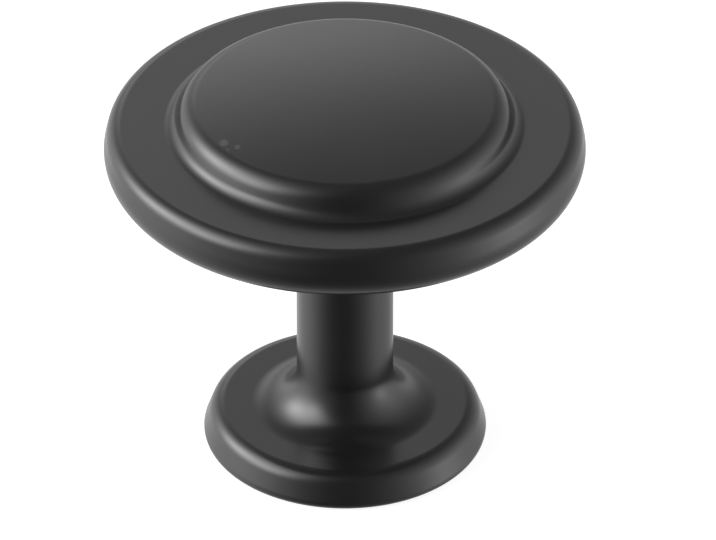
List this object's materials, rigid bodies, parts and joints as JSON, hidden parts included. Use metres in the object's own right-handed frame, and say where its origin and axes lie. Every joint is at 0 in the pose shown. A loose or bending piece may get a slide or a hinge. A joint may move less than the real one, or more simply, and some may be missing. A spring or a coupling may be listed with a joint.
{
  "type": "cabinet knob",
  "caption": "Round cabinet knob: a domed disc on a flat rolled-edge head, a slim straight stem and a flared round base with a tapped hole for the fixing screw.",
  "frame": {"origin": "centre of the face that sits on the cabinet front", "axes": "+Z out of the cabinet along the knob's axis of symmetry; the knob is round, so +X and +Y are any two directions along the cabinet front"},
  "size_m": [0.032, 0.032, 0.027],
  "materials": {
    "black_finish": "satin black baked coat over a zinc casting"
  },
  "bodies": {
    "root": {"knob_body": "black_finish"}
  },
  "joints": []
}
